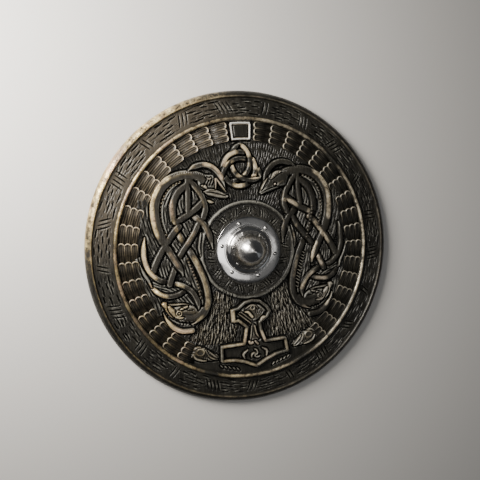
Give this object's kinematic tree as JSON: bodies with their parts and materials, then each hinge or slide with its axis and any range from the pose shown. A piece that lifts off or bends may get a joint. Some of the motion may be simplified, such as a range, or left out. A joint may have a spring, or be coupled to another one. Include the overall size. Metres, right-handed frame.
{
  "type": "round viking shield",
  "caption": "Round wooden shield carved with Norse knotwork beasts, a hammer and serpent bands, with a domed hollow steel boss over the hand hole and a flush wooden grip.",
  "frame": {"origin": "centre of the flat back, on the plane the shield lies on", "axes": "+Z out of the carved face through the boss, +Y towards the top of the carving, along the grip"},
  "size_m": [0.8, 0.8, 0.0798],
  "materials": {
    "carved_wood": "dark stained carving with rubbed gold on the raised parts",
    "polished_steel": "polished",
    "rivet_steel": "polished domes",
    "grip_wood": "worn, oiled",
    "nail_iron": "dark forged"
  },
  "bodies": {
    "root": {"board": "carved_wood", "boss": "polished_steel", "boss_rivet_1": "rivet_steel", "boss_rivet_2": "rivet_steel", "boss_rivet_3": "rivet_steel", "boss_rivet_4": "rivet_steel", "boss_rivet_5": "rivet_steel", "boss_rivet_6": "rivet_steel", "grip": "grip_wood", "grip_nail_1": "nail_iron", "grip_nail_2": "nail_iron", "grip_nail_3": "nail_iron", "grip_nail_4": "nail_iron"}
  },
  "joints": []
}
